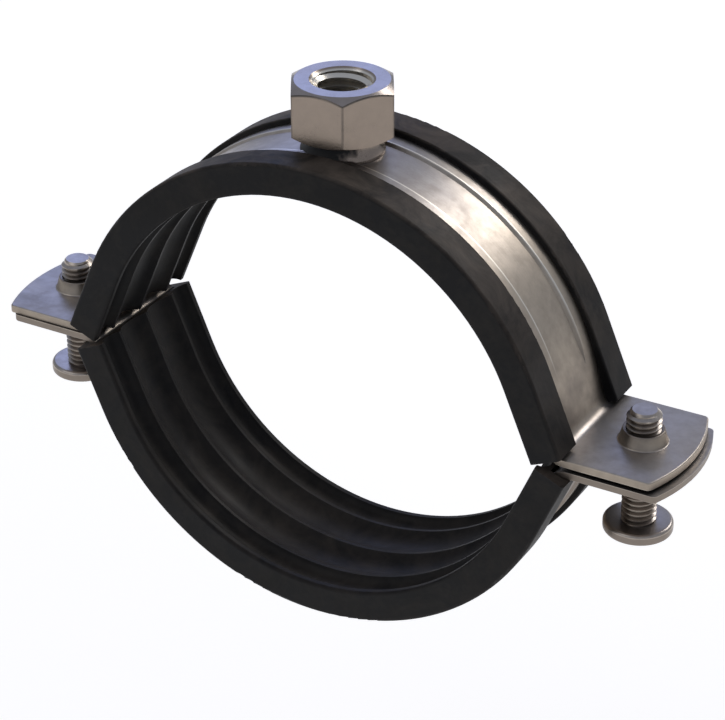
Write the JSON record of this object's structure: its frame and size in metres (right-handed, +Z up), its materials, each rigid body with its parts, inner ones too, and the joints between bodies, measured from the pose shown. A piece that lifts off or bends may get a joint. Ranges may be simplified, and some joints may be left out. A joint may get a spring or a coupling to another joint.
{
  "type": "rubber lined pipe clamp",
  "caption": "Pipe clamp of pressed steel halves with ribbed rubber linings, a hexagonal hanger nut on top and screws through the side ears.",
  "frame": {"origin": "where the pipe's axis crosses the middle of the clamp, on the parting plane under the upper ears", "axes": "+X from the left ear to the right ear, +Y along the pipe away from the viewer, +Z up through the hanger nut"},
  "size_m": [0.1336, 0.0298, 0.0968],
  "materials": {
    "zinc_plated_steel": "bright zinc plating over pressed sheet and turned parts",
    "black_rubber": "matt moulded rubber"
  },
  "bodies": {
    "upper_half": {"upper_band": "zinc_plated_steel", "upper_lining": "black_rubber", "connection_nut": "zinc_plated_steel"},
    "lower_half": {"lower_band": "zinc_plated_steel", "lower_lining": "black_rubber"},
    "left_screw": {"left_screw": "zinc_plated_steel"},
    "right_screw": {"right_screw": "zinc_plated_steel"}
  },
  "joints": [
    {"name": "lower_half_release", "type": "slide", "parent": "upper_half", "child": "lower_half", "axis": [0, 0, 1], "range_m": [-0.03, 0]},
    {"name": "left_screw_travel", "type": "slide", "parent": "lower_half", "child": "left_screw", "axis": [0, 0, 1], "range_m": [-0.007, 0.0118]},
    {"name": "right_screw_travel", "type": "slide", "parent": "lower_half", "child": "right_screw", "axis": [0, 0, 1], "range_m": [-0.007, 0.0118]}
  ]
}
